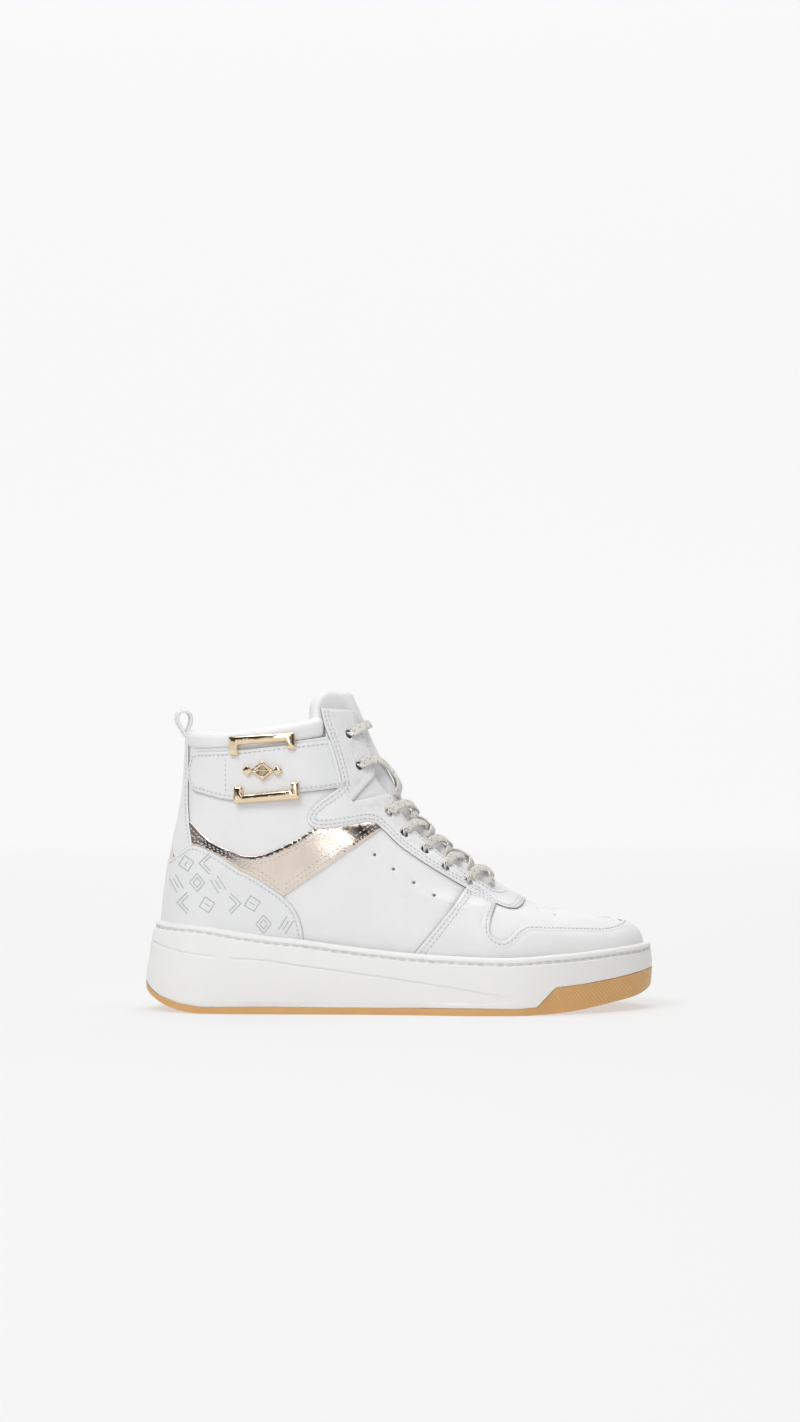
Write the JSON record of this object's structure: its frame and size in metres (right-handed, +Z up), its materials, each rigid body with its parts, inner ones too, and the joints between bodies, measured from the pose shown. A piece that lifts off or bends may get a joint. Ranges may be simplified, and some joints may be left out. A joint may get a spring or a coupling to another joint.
{
  "type": "basketball high top",
  "caption": "Right high-top basketball shoe: cupsole with a gum outsole, layered leather upper, mirror-gold ankle band, decorative ankle strap, padded collar and tongue.",
  "frame": {"origin": "on the ground under the sole, at mid-length on the heel-to-toe centre line", "axes": "+X points to the toe, +Y to the inner (medial) side of this right shoe, +Z up"},
  "size_m": [0.2851, 0.102, 0.1797],
  "materials": {
    "white_leather": "smooth coated full-grain leather",
    "embossed_leather": "white coated leather with a blind geometric emboss",
    "gold_leather": "mirror-finish metallic foil on leather",
    "gold_metal": "polished, gold plated",
    "white_rubber": "satin moulded rubber",
    "gum_rubber": "translucent gum rubber",
    "foam": "foam",
    "lining": "soft lining",
    "lace": "flat woven lace with metallic flecks",
    "thread": "bonded thread",
    "board": "fibre board",
    "steel": "spring steel",
    "tip": "heat-shrunk sheath"
  },
  "bodies": {
    "shoe": {"outsole": "gum_rubber", "cupsole": "white_rubber", "sole_stitching": "thread", "midsole_filler": "foam", "shank": "steel", "insole_board": "board", "footbed": "foam", "lining": "lining", "heel_stiffener": "board", "toe_puff": "board", "ankle_padding": "foam", "vamp": "white_leather", "lateral_quarter": "white_leather", "medial_quarter": "white_leather", "lateral_ankle_panel": "white_leather", "medial_ankle_panel": "white_leather", "eyestay": "white_leather", "toe_overlay": "white_leather", "heel_counter": "embossed_leather", "lateral_gold_panel": "gold_leather", "medial_gold_panel": "gold_leather", "heel_insert": "gold_leather", "backstay": "white_leather", "collar": "white_leather", "ankle_strap": "white_leather", "upper_bracket": "gold_metal", "lower_bracket": "gold_metal", "ornament": "gold_metal", "tongue": "white_leather", "lace": "lace", "lace_tips": "tip"},
    "tongue_flap": {"tongue_top": "white_leather"},
    "loop": {"pull_loop": "white_leather"}
  },
  "joints": [
    {"name": "tongue_flap_hinge", "type": "hinge", "parent": "shoe", "child": "tongue_flap", "pos_m": [-0.0163, 0, 0.1605], "axis": [0, 1, 0], "range_deg": [0, 22], "stiffness_Nm_per_rad": 0.03},
    {"name": "pull_loop_hinge", "type": "hinge", "parent": "shoe", "child": "loop", "pos_m": [-0.1202, 0, 0.1516], "axis": [0, 1, 0], "range_deg": [-25, 15], "stiffness_Nm_per_rad": 0.01}
  ]
}
